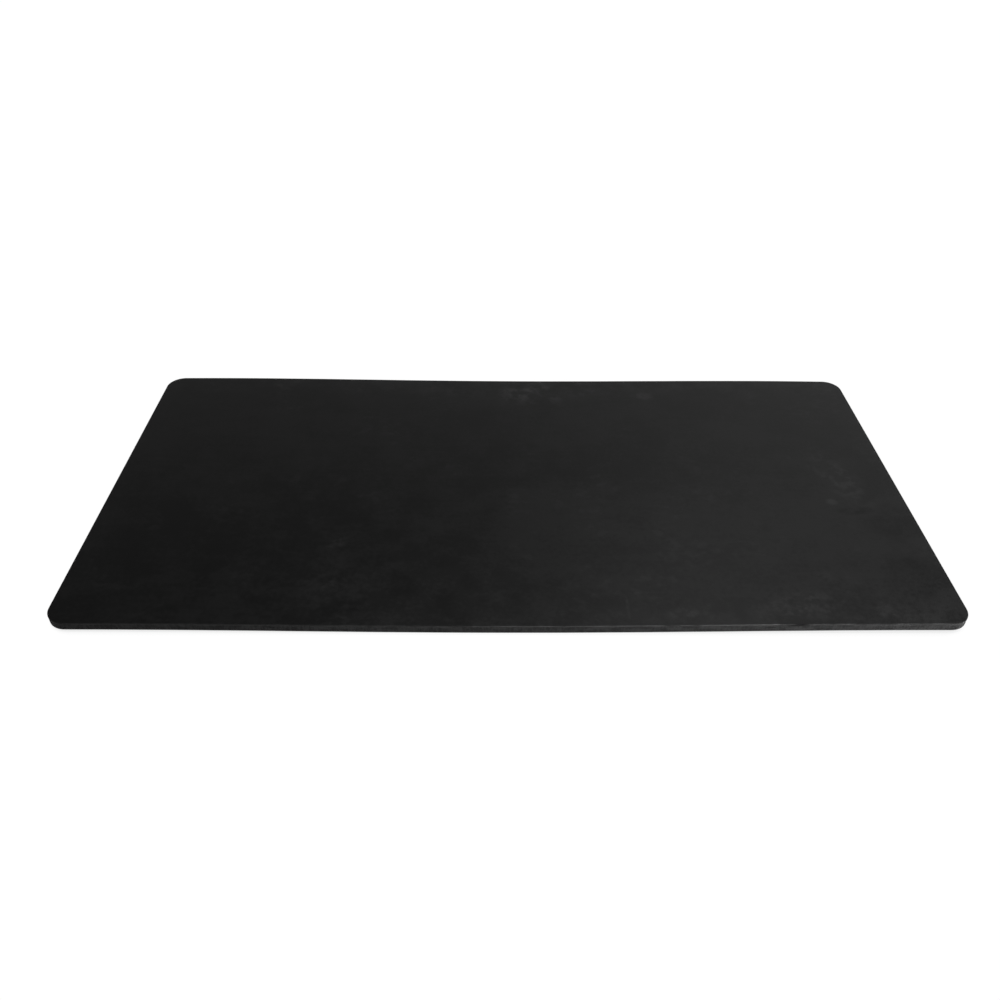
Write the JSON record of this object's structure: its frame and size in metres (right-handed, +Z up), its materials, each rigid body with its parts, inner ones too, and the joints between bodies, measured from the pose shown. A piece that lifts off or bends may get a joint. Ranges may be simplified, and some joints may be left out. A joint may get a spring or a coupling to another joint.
{
  "type": "self-healing cutting mat",
  "caption": "Flat rectangular self-healing mat with rounded corners, soft and firm sheets pressed into one slab, for cutting and punching leather.",
  "frame": {"origin": "middle of the underside, on the surface that the mat lies on", "axes": "+X along the long side, +Y along the short side towards the far edge, +Z up out of the working face"},
  "size_m": [0.6096, 0.3048, 0.0063],
  "materials": {
    "healing_vinyl": "satin",
    "firm_vinyl": "satin",
    "core_vinyl": "satin"
  },
  "bodies": {
    "root": {"bottom_healing_sheet": "healing_vinyl", "lower_firm_sheet": "firm_vinyl", "core_sheet": "core_vinyl", "upper_firm_sheet": "firm_vinyl", "top_healing_sheet": "healing_vinyl"}
  },
  "joints": []
}
